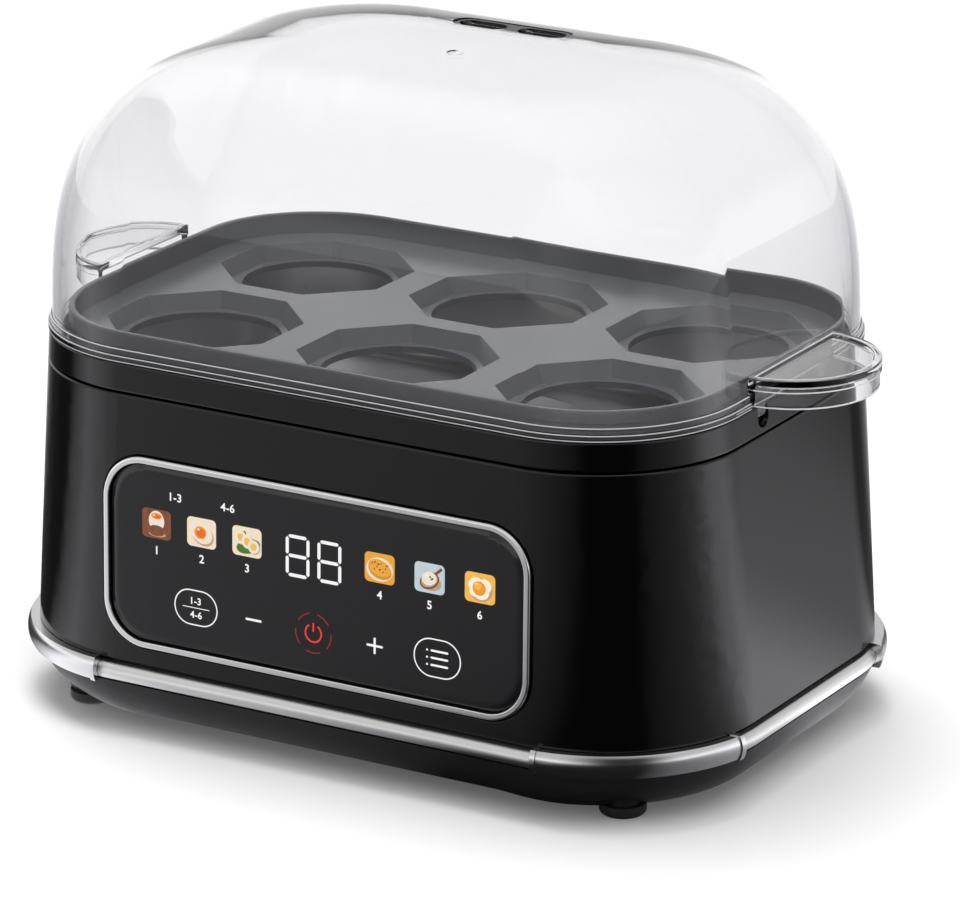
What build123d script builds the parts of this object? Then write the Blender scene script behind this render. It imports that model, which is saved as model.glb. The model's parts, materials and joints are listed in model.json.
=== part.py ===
from build123d import *
import os
from math import atan, cos, degrees, radians, sin

# Six-egg electric egg cooker: a heated dish in a tapered housing, a lift-out egg tray and a clear lid.
# Millimetres, +Z up, front towards -Y, origin on the standing surface under the middle of the body.

# Body outline: rounded rectangles at the rim and at the housing's lower edge, straight in between
rim_length = 176.0
rim_depth = 124.2
rim_radius = 35.6
rim_height = 90.0
skirt_length = 185.6
skirt_depth = 127.0
skirt_radius = 38.3
skirt_height = 18.4

# Housing and collar
housing_wall = 2.4
seam_height = 83.0
seam_gap = 0.4
seam_ease = 0.35
slip_gap = 0.25
cut_margin = 1.0
collar_land = 3.2
collar_ease = 0.5
shelf_width = 8.0
shelf_thickness = 2.4
spigot_wall = 2.0
spigot_depth = 7.0
notch_width = 4.8
notch_depth = 5.6
notch_recess = 2.0
notch_spacing = 29.0

# Pillars, posts, long screws and feet share one axis in each corner
corner_x = 71.2
corner_y = 47.0
pillar_radius = 3.0
post_radius = 5.6
pillar_joint_height = 30.0
screw_radius = 1.6
screw_grip = 22.0
screw_head_radius = 3.0
screw_head_height = 2.2
pilot_radius = 1.35
foot_radius = 5.4
foot_drop = 2.0
foot_recess = 0.7
foot_ease = 1.2
plug_radius = 3.9
plug_length = 3.6
well_depth = 8.2

# Base shell
base_floor = 2.2
base_wall = 2.2
arch_rise = 2.0
arch_half_length = 45.0
arch_half_depth = 24.0
arch_ramp = 15.0
arch_round = 20.0
belly_height = 7.0
belly_inset = 2.8
belly_radius_loss = 1.6
sole_inset = 8.0
sole_radius_loss = 2.4
lip_height = 21.0
base_slot_length = 26.0
base_slot_width = 3.0
base_slot_pitch = 7.0
base_slot_count = 7

# Trim band round the foot of the housing
channel_low = 12.8
channel_inset = 1.8
bar_height = 4.0
bar_low = 13.2
bar_proud = 1.5
cap_proud = 2.7
cap_crown = 0.8
cap_end_x = 58.0
cap_end_y = 33.5
cap_lip = 1.3
cap_lip_proud = 0.4
trim_gap = 0.1

# Control panel in the tilted front face; depths are counted inwards from that face
panel_height = 45.65
bezel_length = 112.8
bezel_width = 46.0
bezel_radius = 11.0
bezel_face = 1.5
bezel_proud = 0.8
bezel_ease = 0.3
bezel_groove = 0.45
glass_groove = 0.4
glass_sunk = 0.4
glass_thickness = 2.0
glass_bevel_width = 2.2
glass_bevel_drop = 0.7
carrier_depth = 3.0
carrier_plate = 2.0
carrier_margin = 1.0
ear_x = 62.0
ear_v = 14.0
ear_radius = 3.4
ear_depth = 6.5
ear_root = 5.0
panel_screw_radius = 1.1
panel_screw_length = 5.0
panel_screw_seat = 3.0
board_depth = 9.4
board_thickness = 1.6
board_length = 106.0
board_width = 38.0
board_post_inset = 3.0
board_post_radius = 2.5
board_screw_grip = 3.0

# Keys, digits and lit pictures on the panel: places along it and up it from its middle
key_row = -10.8
key_places = (-31.3, -15.7, 0.2, 16.4, 32.7)
key_pad_radius = 3.5
picture_row = 7.6
picture_side = 7.8
picture_places = (-41.9, -29.7, -17.5, 17.6, 30.6, 43.6)
digit_places = (-4.0, 4.4)
digit_row = 6.5
digit_length = 6.6
digit_height = 10.2
display_margin = 1.6
segment_width = 1.0
light_gap = 0.5

# Dish, gasket and heater
sheet = 1.0
mouth_inset = 10.5
mouth_radius_loss = 7.1
dish_lean = 4.0
dish_depth = 24.0
dish_round = 6.0
well_radius = 36.0
well_sink = 2.0
flange_gap = 0.5
gasket_thickness = 1.0
gasket_width = 3.0
gasket_edge = 0.6
heater_plate_radius = 34.0
heater_plate_thickness = 4.0
tube_radius = 3.25
tube_ring_radius = 26.0
tube_seat = 2.9
tube_gap_angle = 44.0
tube_leg = 4.5
tube_bend = 5.0
pin_radius = 1.1
pin_length = 7.0
thermostat_radius = 7.9
thermostat_height = 6.5
strap_length = 38.0
strap_width = 8.0
strap_thickness = 0.8
strap_ring_radius = 10.0
strap_screw_spacing = 31.0
fuse_radius = 2.1
fuse_length = 12.0
fuse_offset = 18.0
clip_length = 6.0
shield_length = 128.0
shield_depth = 77.0
shield_radius = 20.0
shield_flange = 2.5
shield_sheet = 0.8
shield_floor_height = 43.0
shield_window = 26.0

# Power board and what stands on it
power_board_x = -6.0
power_board_y = 10.0
power_board_length = 100.0
power_board_width = 60.0
power_board_height = 13.0
power_post_radius = 3.4
power_post_inset = 5.0
board_screw_radius = 1.3
relay_size = (19.0, 15.5, 15.5)
relay_place = (-30.0, 8.0)
transformer_size = (24.0, 19.0, 17.0)
transformer_place = (-2.0, 6.0)
capacitor_radius = 5.0
capacitor_height = 16.0
capacitor_place = (-24.0, -14.0)
buzzer_radius = 6.0
buzzer_height = 8.5
buzzer_place = (30.0, -16.0)
terminal_size = (26.0, 11.0, 10.0)
terminal_place = (26.0, 16.0)
socket_size = (18.0, 6.0, 7.0)
socket_place = (0.0, -24.0)
part_ease = 0.8

# Cord bush in the rear wall
bush_x = 42.0
bush_height = 31.0
bush_bore = 3.3
bush_barrel = 5.4
bush_flange = 7.6
bush_flange_thickness = 2.2
bush_back = 6.0
bush_lock = 6.6
bush_lock_thickness = 2.6

# Wires inside
wire_radius = 1.0
ribbon_width = 12.0
ribbon_thickness = 0.9
ribbon_bend = 4.0
ribbon_grip = 2.5
ribbon_start_v = -12.0

# Egg tray
tray_inset = 4.6
tray_wall = 1.6
tray_rim = 8.4
tray_plate_height = 3.0
seat_mouth = 43.5
seat_gap_x = 1.65
seat_gap_y = 3.25
seat_floor = 39.0
seat_sink = 3.8
seat_hole = 18.0

# Lid
lid_wall = 2.0
lid_flange_inset = -0.25
lid_flange = 2.0
lid_step_inset = 0.3
lid_step = 1.1
lid_inset = 0.8
lid_height = 65.5
lid_top_length = 72.0
lid_top_depth = 40.0
lid_top_radius = 19.0
dome_power = 2.9
dome_levels = 10
vent_length = 12.2
vent_width = 5.0
vent_spacing = 15.6
vent_y = 26.0
vent_recess_length = 31.0
vent_recess_width = 7.6
vent_recess_depth = 0.4
gate_radius = 2.0
gate_depth = 0.3
handle_radius = 20.4
handle_setback = 0.5
handle_top = 7.4
handle_band = 2.9
handle_skirt = 3.8
handle_skirt_inset = 0.4
handle_rim = 1.8
handle_chord = 0.8
handle_recess = 0.6
handle_web = 1.4
key_clearance = 0.3
key_drop = 3.1

# The dish's mouth follows the rim, and the seats follow the mouth
mouth_length = rim_length - 2 * mouth_inset
mouth_depth = rim_depth - 2 * mouth_inset
mouth_radius = rim_radius - mouth_radius_loss
floor_length = mouth_length - 2 * dish_lean
floor_depth = mouth_depth - 2 * dish_lean
floor_radius = mouth_radius - dish_lean
seat_x = mouth_length / 2 - seat_gap_x - tray_wall - seat_mouth / 2
seat_y = mouth_depth / 2 - seat_gap_y - tray_wall - seat_mouth / 2

# The control board's posts stand in from its corners
board_post_x = board_length / 2 - board_post_inset
board_post_v = board_width / 2 - board_post_inset

# Heights that follow from the stack of pieces
shelf_height = seam_height + shelf_thickness
flange_low = shelf_height + gasket_thickness
flange_top = flange_low + sheet
dish_floor_top = flange_top - dish_depth
dish_underside = dish_floor_top - sheet
well_underside = dish_underside - well_sink
heater_underside = well_underside - heater_plate_thickness
tube_height = heater_underside - tube_radius + tube_seat
sole_height = foot_drop
arch_height = sole_height + arch_rise
floor_top = arch_height + base_floor
well_top = sole_height + well_depth
tray_low = flange_top
plate_top = tray_low + tray_plate_height
lid_foot = rim_height + lid_flange


def body_size(height):
    """Length, depth and corner radius of the tapered body at a height."""
    drop = (rim_height - height) / (rim_height - skirt_height)
    length = rim_length + drop * (skirt_length - rim_length)
    depth = rim_depth + drop * (skirt_depth - rim_depth)
    radius = rim_radius + drop * (skirt_radius - rim_radius)
    return length, depth, radius


def rounded_face(length, depth, radius, height):
    return Plane.XY.offset(height) * RectangleRounded(length, depth, radius)


def body_face(height, inset=0.0):
    length, depth, radius = body_size(height)
    return rounded_face(length - 2 * inset, depth - 2 * inset, radius - inset, height)


def body_block(low, high, inset=0.0):
    """A slice of the tapered body, drawn in by an inset."""
    return loft([body_face(low, inset), body_face(high, inset)], ruled=True)


def eased_block(low, high, ease_low, ease_high):
    """A slice of the body whose lower and upper outer edges are broken."""
    levels = {low: ease_low, low + ease_low: 0.0, high - ease_high: 0.0, high: ease_high}
    return loft([body_face(height, ease) for height, ease in levels.items()], ruled=True)


def body_ring(low, high, outer, inner):
    return body_block(low, high, outer) - body_block(low - cut_margin, high + cut_margin, inner)


def at_corners(x, y):
    """The four mirrored places of a point."""
    return [Pos(sx * x, sy * y, 0) for sx in (-1, 1) for sy in (-1, 1)]


def post(radius, low, high):
    return Pos(0, 0, low) * extrude(Circle(radius), high - low)


def block(size, place, height, ease=0.0):
    """A rectangular housing standing on a board, with its upright edges broken."""
    length, width, tall = size
    outline = RectangleRounded(length, width, ease) if ease else Rectangle(length, width)
    return Pos(place[0], place[1], height) * extrude(outline, tall)


# The panel plane lies in the housing's front face, which leans back by the taper
front_lean = degrees(atan((skirt_depth - rim_depth) / 2 / (rim_height - skirt_height)))
panel_y = -body_size(panel_height)[1] / 2
panel_origin = Vector(0, panel_y, panel_height)
panel_normal = Vector(0, -cos(radians(front_lean)), sin(radians(front_lean)))
panel = Plane(origin=panel_origin, x_dir=(1, 0, 0), z_dir=panel_normal)


def panel_slab(shape, front, back):
    """Extrude a panel outline between two depths behind the front face."""
    return extrude(panel.offset(-back) * shape, back - front)


def bezel_outline(grow=0.0):
    return RectangleRounded(bezel_length + 2 * grow, bezel_width + 2 * grow, bezel_radius + grow)


def housing_shell():
    """Tapered sleeve with the panel window, the panel's screw posts and the cord hole."""
    top = seam_height - seam_gap
    shell = eased_block(skirt_height, top, 0.0, seam_ease)
    shell -= body_block(skirt_height - cut_margin, top + cut_margin, housing_wall)
    shell -= panel_slab(bezel_outline(bezel_groove), -cut_margin, ear_depth)
    inside = body_block(skirt_height, top, housing_wall / 2)
    for place in at_corners(ear_x, ear_v):
        shell += panel_slab(place * Circle(ear_radius), 0, ear_depth) & inside
        shell -= panel_slab(place * Circle(panel_screw_radius), panel_screw_seat, ear_depth + cut_margin)
    return shell - extrude(bush_plane() * Circle(bush_barrel), 2 * housing_wall, both=True)


def bush_plane():
    """Plane of the leaning rear face where the cord comes in."""
    lean = radians(front_lean)
    rear = body_size(bush_height)[1] / 2
    return Plane(origin=(bush_x, rear, bush_height), x_dir=(1, 0, 0), z_dir=(0, cos(lean), sin(lean)))


def upper_collar():
    """Black ring on the housing: land for the lid, shelf for the dish, spigot and four long pillars."""
    collar = eased_block(seam_height, rim_height, seam_ease, collar_ease)
    collar -= body_block(shelf_height, rim_height + cut_margin, collar_land)
    collar -= body_block(seam_height - cut_margin, shelf_height + cut_margin, shelf_width)
    outer = housing_wall + slip_gap
    inner = outer + spigot_wall
    collar += body_ring(seam_height - spigot_depth, seam_height + seam_ease, outer, inner)
    pilot_low = pillar_joint_height - cut_margin
    pilot_top = pillar_joint_height + screw_grip
    for place in at_corners(corner_x, corner_y):
        collar += place * post(pillar_radius, pillar_joint_height, shelf_height)
        collar -= place * post(pilot_radius, pilot_low, pilot_top)
    for side in (-1, 1):
        for step in (-1, 1):
            collar -= lid_notch(side, step * notch_spacing / 2)
    return collar


def lid_notch(side, y):
    """Round-bottomed notch in the collar's end, open at the top and at the outside."""
    outer = rim_length / 2 + cut_margin
    deep = notch_recess + cut_margin
    start = (side * (outer - deep), y, rim_height - notch_depth)
    plane = Plane(origin=start, x_dir=(0, side, 0), z_dir=(side, 0, 0))
    radius = notch_width / 2
    tall = notch_depth + cut_margin - radius
    shape = Pos(0, radius) * Circle(radius)
    shape += Pos(0, radius + tall / 2) * Rectangle(notch_width, tall)
    return extrude(plane * shape, deep)


def base_shell():
    """Lower pan: bellied sides, four lobes with arches between them, posts, trim channel and lip."""
    def section(height, inset, radius_loss):
        length, depth, radius = body_size(channel_low)
        return rounded_face(length - 2 * inset, depth - 2 * inset, radius - radius_loss, height)

    pan = loft([
        section(sole_height, sole_inset, sole_radius_loss),
        section(belly_height, belly_inset, belly_radius_loss),
        section(channel_low, 0.0, 0.0),
    ])
    pan -= loft([
        section(floor_top, sole_inset + base_wall, sole_radius_loss + base_wall),
        section(channel_low, channel_inset + base_wall, channel_inset + base_wall),
    ], ruled=True)
    lip_inset = housing_wall + slip_gap
    pan += body_ring(channel_low, skirt_height, channel_inset, channel_inset + base_wall)
    pan += body_ring(channel_low, lip_height, lip_inset, channel_inset + base_wall)
    pan -= arch_cut(Plane.XZ, arch_half_length, skirt_length)
    pan -= arch_cut(Plane.YZ, arch_half_depth, skirt_length)
    for place in at_corners(corner_x, corner_y):
        pan += place * post(post_radius, floor_top - base_floor, pillar_joint_height)
        pan -= place * post(plug_radius + slip_gap, 0, well_top)
        pan -= place * post(foot_radius + slip_gap, 0, sole_height + foot_recess)
        pan -= place * post(screw_radius + slip_gap, 0, pillar_joint_height + cut_margin)
    for place in power_posts():
        pan += place * post(power_post_radius, floor_top - base_floor / 2, power_board_height)
        pan -= place * post(pilot_radius, floor_top, power_board_height + cut_margin)
    slot = SlotOverall(base_slot_length, base_slot_width, rotation=90)
    for index in range(base_slot_count):
        x = (index - (base_slot_count - 1) / 2) * base_slot_pitch
        pan -= Pos(power_board_x + x, power_board_y, 0) * extrude(slot, floor_top + cut_margin)
    return pan


def arch_cut(plane, half_length, reach):
    """Tool that lifts the sole between two lobes, with a rounded ramp at each end."""
    outer = half_length + arch_ramp
    corners = [(-outer, 0), (-outer, sole_height), (-half_length, arch_height), (half_length, arch_height),
               (outer, sole_height), (outer, 0)]
    shape = make_face(Polyline(*corners, close=True))
    shape = fillet(shape.vertices().sort_by(Axis.Y)[-2:], arch_round)
    return extrude(plane * shape, reach, both=True)


def foot():
    """Rubber foot with a plug that covers the long screw."""
    pad = post(foot_radius, 0, sole_height + foot_recess)
    pad = fillet(pad.edges().sort_by(Axis.Z)[0], foot_ease)
    plug_low = sole_height + foot_recess
    return pad + post(plug_radius, plug_low, plug_low + plug_length)


def base_screw():
    """Long screw from under the foot up through the post into the pillar."""
    head = post(screw_head_radius, well_top - screw_head_height, well_top)
    drive = Pos(0, 0, well_top - screw_head_height) * Box(3.2, 0.8, 1.4)
    return head + post(screw_radius, well_top, pillar_joint_height) - drive \
        + post(pilot_radius, pillar_joint_height, pillar_joint_height + screw_grip)


def trim_path(height):
    length, depth, radius = body_size(height)
    return rounded_face(length, depth, radius, height).face().outer_wire()


def trim_ring(low, high, proud, crown):
    """A closed band round the body with a crowned face, standing in the base's channel."""
    middle = (low + high) / 2
    depth = body_size(middle)[1] / 2
    inner = slip_gap - channel_inset
    shoulder = proud - crown
    outline = Polyline((shoulder, low), (inner, low), (inner, high), (shoulder, high))
    face_arc = ThreePointArc((shoulder, high), (proud, middle), (shoulder, low))
    section = make_face(outline + face_arc)
    plane = Plane(origin=(0, -depth, 0), x_dir=(0, -1, 0), z_dir=(-1, 0, 0))
    return sweep(plane * section, path=trim_path(middle))


def sector(x_low, x_high, y_low, y_high):
    """Tall box that picks one stretch out of a ring."""
    size = (x_high - x_low, y_high - y_low, rim_height)
    return Pos((x_low + x_high) / 2, (y_low + y_high) / 2, 0) * Box(*size)


def trim_bars():
    """Four slim bars between the corner caps."""
    ring = trim_ring(bar_low, bar_low + bar_height, bar_proud, bar_proud)
    x = cap_end_x - trim_gap
    y = cap_end_y - trim_gap
    far = skirt_length
    return {
        "trim_bar_front": ring & sector(-x, x, -far, 0),
        "trim_bar_rear": ring & sector(-x, x, 0, far),
        "trim_bar_left": ring & sector(-far, 0, -y, y),
        "trim_bar_right": ring & sector(0, far, -y, y),
    }


def trim_caps():
    """Four corner caps with a raised lip at each end, where the bars run in."""
    low = channel_low + trim_gap
    high = skirt_height - trim_gap
    ring = trim_ring(low, high, cap_proud, cap_crown)
    spread = cap_lip_proud / 2
    lip_ring = trim_ring(low - spread, high + spread, cap_proud + cap_lip_proud, cap_crown)
    lip_ring -= body_block(low - cut_margin, high + cut_margin, 0.0)
    far = skirt_length
    caps = {}
    for x_name, sx in (("left", -1), ("right", 1)):
        for y_name, sy in (("front", -1), ("rear", 1)):
            x_far = sorted((sx * cap_end_x, sx * far))
            y_far = sorted((sy * cap_end_y, sy * far))
            x_lip = sorted((sx * cap_end_x, sx * (cap_end_x + cap_lip)))
            y_lip = sorted((sy * cap_end_y, sy * (cap_end_y + cap_lip)))
            cap = ring & sector(*x_far, *y_far)
            cap += lip_ring & sector(*x_lip, *y_far)
            cap += lip_ring & sector(*x_far, *y_lip)
            caps[f"trim_cap_{y_name}_{x_name}"] = cap
    return caps


def control_bezel():
    """Brushed metal ring that stands a little proud of the front."""
    outer = bezel_outline()
    eased = bezel_outline(-bezel_ease)
    inner = bezel_outline(-bezel_face)
    shoulder = panel.offset(bezel_proud - bezel_ease) * outer
    nose = loft([shoulder, panel.offset(bezel_proud) * eased], ruled=True)
    ring = panel_slab(outer, bezel_ease - bezel_proud, carrier_depth) + nose
    return ring - panel_slab(inner, -bezel_proud - cut_margin, carrier_depth + cut_margin)


def glass_outline(shrink=0.0):
    return bezel_outline(-bezel_face - glass_groove - shrink)


def touch_glass():
    """Black touch glass with a shallow bevel all round, sunk a little behind the bezel."""
    front = glass_sunk - bezel_proud
    back = front + glass_thickness
    slab = panel_slab(glass_outline(), front + glass_bevel_drop, back)
    levels = [panel.offset(-front - glass_bevel_drop) * glass_outline()]
    levels += [panel.offset(-front) * glass_outline(glass_bevel_width)]
    return slab + loft(levels, ruled=True)


glass_back = glass_sunk - bezel_proud + glass_thickness
light_front = glass_back + light_gap


def display_outline(grow=0.0):
    length = digit_places[1] - digit_places[0] + digit_length + 2 * (display_margin + grow)
    middle = sum(digit_places) / 2
    return Pos(middle, digit_row) * Rectangle(length, digit_height + 2 * (display_margin + grow))


def guide_outline(places, grow=0.0):
    length = places[-1] - places[0] + picture_side + 2 * (display_margin + grow)
    middle = (places[0] + places[-1]) / 2
    width = picture_side + 2 * (display_margin + grow)
    return Pos(middle, picture_row) * Rectangle(length, width)


picture_groups = (picture_places[:3], picture_places[3:])


def panel_carrier():
    """Frame behind the panel: raised seat for the glass, light windows, board posts and ears."""
    plate_back = carrier_depth + carrier_plate
    plate = panel_slab(bezel_outline(carrier_margin), carrier_depth, plate_back)
    plate += panel_slab(glass_outline(), glass_back, carrier_depth)
    edge = bezel_length / 2 + carrier_margin
    ear_back = ear_depth + carrier_plate
    screw_hole = Circle(panel_screw_radius + slip_gap)
    pilot = Circle(panel_screw_radius)
    pilot_front = board_depth - board_screw_grip
    for side in (-1, 1):
        for v in (-ear_v, ear_v):
            place = Pos(side * ear_x, v)
            tab_length = ear_x - edge + ear_root
            tab = Pos(side * (ear_x - tab_length / 2), v) * Rectangle(tab_length, 2 * ear_radius)
            root = Pos(side * (edge - ear_root / 2), v) * Rectangle(ear_root, 2 * ear_radius)
            plate += panel_slab(tab + place * Circle(ear_radius), ear_depth, ear_back)
            plate += panel_slab(root, carrier_depth, ear_depth)
            plate -= panel_slab(place * screw_hole, carrier_depth, ear_back + cut_margin)
    for place in at_corners(board_post_x, board_post_v):
        plate += panel_slab(place * Circle(board_post_radius), plate_back, board_depth)
        plate -= panel_slab(place * pilot, pilot_front, board_depth + cut_margin)
    window = display_outline(slip_gap)
    for group in picture_groups:
        window += guide_outline(group, slip_gap)
    for x in key_places:
        window += Pos(x, key_row) * Circle(key_pad_radius + slip_gap)
    return plate - panel_slab(window, 0, plate_back + cut_margin)


def panel_screws():
    """Four screws that hold the carrier's ears to the housing's posts."""
    back = ear_depth + carrier_plate
    head = 2 * panel_screw_radius
    screws = []
    for place in at_corners(ear_x, ear_v):
        shank = panel_slab(place * Circle(panel_screw_radius), back - panel_screw_length, back)
        screws.append(shank + panel_slab(place * Circle(head), back, back + panel_screw_radius))
    return Compound(screws)


def control_board():
    outline = Rectangle(board_length, board_width)
    for place in at_corners(board_post_x, board_post_v):
        outline -= place * Circle(panel_screw_radius + slip_gap)
    return panel_slab(outline, board_depth, board_depth + board_thickness)


def digit_display():
    """Two-digit module: a dark block with seven raised bars for each digit."""
    module = panel_slab(display_outline(), light_front, board_depth)
    across = digit_length - 2 * segment_width
    half = (digit_height - segment_width) / 2
    upright = half - segment_width
    for x in digit_places:
        bars = Sketch()
        for level in (-half, 0, half):
            bars += Pos(x, digit_row + level) * SlotOverall(across, segment_width)
        for side in (-1, 1):
            for level in (-half / 2, half / 2):
                place = Pos(x + side * (digit_length - segment_width) / 2, digit_row + level)
                bars += place * SlotOverall(upright, segment_width, rotation=90)
        module += panel_slab(bars, glass_back + light_gap / 2, light_front)
    return module


def light_guides():
    """Two frosted blocks with a cell for each lit picture."""
    guides = []
    for group in picture_groups:
        guide = panel_slab(guide_outline(group), light_front, board_depth)
        for x in group:
            cell = Pos(x, picture_row) * Rectangle(picture_side, picture_side)
            guide -= panel_slab(cell, light_front + board_thickness, board_depth + cut_margin)
        guides.append(guide)
    return Compound(guides)


def touch_pads():
    """Five conductive foam pads between the board and the glass."""
    pad = Circle(key_pad_radius)
    return Compound([panel_slab(Pos(x, key_row) * pad, glass_back, board_depth) for x in key_places])


def control_board_screws():
    back = board_depth + board_thickness
    head = 2 * panel_screw_radius
    screws = []
    for place in at_corners(board_post_x, board_post_v):
        shank_front = board_depth - board_screw_grip
        shank = panel_slab(place * Circle(panel_screw_radius), shank_front, back)
        screws.append(shank + panel_slab(place * Circle(head), back, back + panel_screw_radius))
    return Compound(screws)


def heating_dish():
    """Pressed dish: flange on the gasket, leaning walls, rounded floor edge and a round well."""
    inner = dish_body(0.0)
    outer = dish_body(sheet)
    dish = outer + body_ring_to_mouth()
    dish -= inner
    slope = well_sink
    dish += cone_disc(well_radius + sheet, well_radius - slope + sheet, dish_underside, well_underside)
    dish -= cone_disc(well_radius, well_radius - slope, dish_floor_top, dish_floor_top - well_sink)
    return dish


def dish_body(grow):
    """The dish's inside, or its outside when grown by the sheet."""
    both = 2 * grow
    low = dish_floor_top - grow
    mouth = rounded_face(mouth_length + both, mouth_depth + both, mouth_radius + grow, flange_top)
    floor = rounded_face(floor_length + both, floor_depth + both, floor_radius + grow, low)
    shape = loft([mouth, floor], ruled=True)
    return fillet(shape.faces().sort_by(Axis.Z)[0].edges(), dish_round + grow)


def body_ring_to_mouth():
    ring = body_block(flange_low, flange_top, collar_land + flange_gap)
    hole = rounded_face(mouth_length, mouth_depth, mouth_radius, flange_low - cut_margin)
    return ring - extrude(hole, sheet + 2 * cut_margin)


def cone_disc(top_radius, low_radius, high, low):
    return Solid.make_cone(low_radius, top_radius, high - low, Plane.XY.offset(low))


def dish_gasket():
    """Silicone ring between the collar's shelf and the dish's flange."""
    outer = collar_land + flange_gap + gasket_edge
    return body_ring(shelf_height, flange_low, outer, outer + gasket_width)


def heater_plate():
    """Cast aluminium plate under the well, with a round-bottomed groove for the tube."""
    plate = post(heater_plate_radius, heater_underside, well_underside)
    groove = Solid.make_torus(tube_ring_radius, tube_radius, Plane.XY.offset(tube_height))
    pilot_low = heater_underside - cut_margin
    pilot_top = heater_underside + screw_head_height
    for side in (-1, 1):
        plate -= Pos(side * strap_screw_spacing / 2, 0, 0) * post(pilot_radius, pilot_low, pilot_top)
    return plate - groove


def heater_tube():
    """Tubular element: most of a turn in the groove, both ends bent down to their pins."""
    half_gap = radians(tube_gap_angle / 2)
    start = Vector(tube_ring_radius * sin(half_gap), tube_ring_radius * cos(half_gap), tube_height)
    turn = 360 - tube_gap_angle
    ring = CenterArc((0, 0, tube_height), tube_ring_radius, 90 - tube_gap_angle / 2 - turn, turn)
    tube = sweep(Plane(origin=ring @ 0, z_dir=ring % 0) * Circle(tube_radius), path=ring)
    along = Vector(-cos(half_gap), sin(half_gap), 0)
    for side in (-1, 1):
        end = Vector(side * start.X, start.Y, start.Z)
        out = Vector(side * along.X, along.Y, 0)
        down = Vector(0, 0, -1)
        bend_end = end + out * tube_bend + down * tube_bend
        leg_end = bend_end + down * tube_leg
        pin_end = leg_end + down * pin_length
        route = Wire([Edge.make_tangent_arc(end, out, bend_end), Edge.make_line(bend_end, leg_end)])
        tube += sweep(Plane(origin=end, z_dir=out) * Circle(tube_radius), path=route)
        tube += Pos(leg_end.X, leg_end.Y, 0) * post(pin_radius, pin_end.Z, leg_end.Z)
    return tube


def pin_tip(side):
    """Lower end of one heater pin."""
    half_gap = radians(tube_gap_angle / 2)
    x = tube_ring_radius * sin(half_gap) - cos(half_gap) * tube_bend
    y = tube_ring_radius * cos(half_gap) + sin(half_gap) * tube_bend
    return Vector(side * x, y, tube_height - tube_bend - tube_leg - pin_length)


def thermostat():
    """Snap-disc thermostat: metal cup, ceramic body and two blades."""
    cup_low = heater_underside - thermostat_height / 2
    body_low = heater_underside - thermostat_height
    stat = post(thermostat_radius, cup_low, heater_underside)
    stat += post(thermostat_radius - 1.4, body_low, cup_low)
    for side in (-1, 1):
        blade = Pos(side * 4.0, 0, body_low - 2.0) * Box(0.8, 5.0, 4.0)
        stat += blade
    return stat


def thermostat_strap():
    """Spring strap screwed under the plate that carries the thermostat's cup."""
    cup_low = heater_underside - thermostat_height / 2
    strap_low = cup_low - strap_thickness
    head_low = strap_low - strap_thickness - 1.0
    screw_top = heater_underside + screw_head_height
    outline = SlotOverall(strap_length, strap_width) + Circle(strap_ring_radius)
    outline -= Circle(thermostat_radius - 1.0)
    strap = Pos(0, 0, strap_low) * extrude(outline, strap_thickness)
    for side in (-1, 1):
        place = Pos(side * strap_screw_spacing / 2, 0, 0)
        strap += place * post(strap_width / 2, strap_low, heater_underside)
        strap -= place * post(pilot_radius, 0, heater_underside + cut_margin)
        strap += place * post(pilot_radius, strap_low, screw_top)
        strap += place * post(pilot_radius * 2, head_low, strap_low)
    return strap


def thermal_fuse():
    """Thermal cut-out in a clip under the plate, across the cooker."""
    height = heater_underside - fuse_radius
    plane = Plane(origin=(-fuse_length / 2, -fuse_offset, height), z_dir=(1, 0, 0))
    fuse = extrude(plane * Circle(fuse_radius), fuse_length)
    for side in (-1, 1):
        lead = Plane(origin=(side * fuse_length / 2, -fuse_offset, height), z_dir=(side, 0, 0))
        fuse += extrude(lead * Circle(fuse_radius / 4), 3.0)
    clip_plane = Plane(origin=(-clip_length / 2, -fuse_offset, height), z_dir=(1, 0, 0))
    clip = extrude(clip_plane * Circle(fuse_radius + sheet), clip_length)
    under = Box(rim_height, rim_height, rim_height)
    clip &= Pos(0, -fuse_offset, heater_underside - rim_height / 2) * under
    return fuse + clip


def heat_shield():
    """Folded sheet pan under the heater, its flange welded to the dish, with a window for the wires."""
    def outline(grow, height):
        length = shield_length + 2 * grow
        return rounded_face(length, shield_depth + 2 * grow, shield_radius + grow, height)

    tall = dish_underside - shield_floor_height
    pan = extrude(outline(0.0, shield_floor_height), tall)
    pan += extrude(outline(shield_flange, dish_underside - shield_sheet), shield_sheet)
    pan -= extrude(outline(-shield_sheet, shield_floor_height + shield_sheet), tall)
    window = Box(shield_window, 10.0, 2 * shield_sheet + cut_margin)
    return pan - Pos(0, pin_tip(1).Y, shield_floor_height) * window


def power_posts():
    half_length = power_board_length / 2 - power_post_inset
    half_width = power_board_width / 2 - power_post_inset
    return [Pos(power_board_x, power_board_y, 0) * place for place in at_corners(half_length, half_width)]


board_top = power_board_height + board_thickness


def on_board(size, place, ease=0.0):
    spot = (power_board_x + place[0], power_board_y + place[1])
    return block(size, spot, board_top, ease)


def power_board():
    board = Pos(power_board_x, power_board_y, power_board_height) * extrude(
        RectangleRounded(power_board_length, power_board_width, 2.0), board_thickness)
    for place in power_posts():
        board -= place * post(board_screw_radius + slip_gap, 0, rim_height)
    return board


def power_board_screws():
    shank = post(board_screw_radius, power_board_height - 4.0, board_top)
    head = post(2 * board_screw_radius, board_top, board_top + board_screw_radius)
    return Compound([place * (shank + head) for place in power_posts()])


def relay():
    return on_board(relay_size, relay_place, part_ease)


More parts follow.
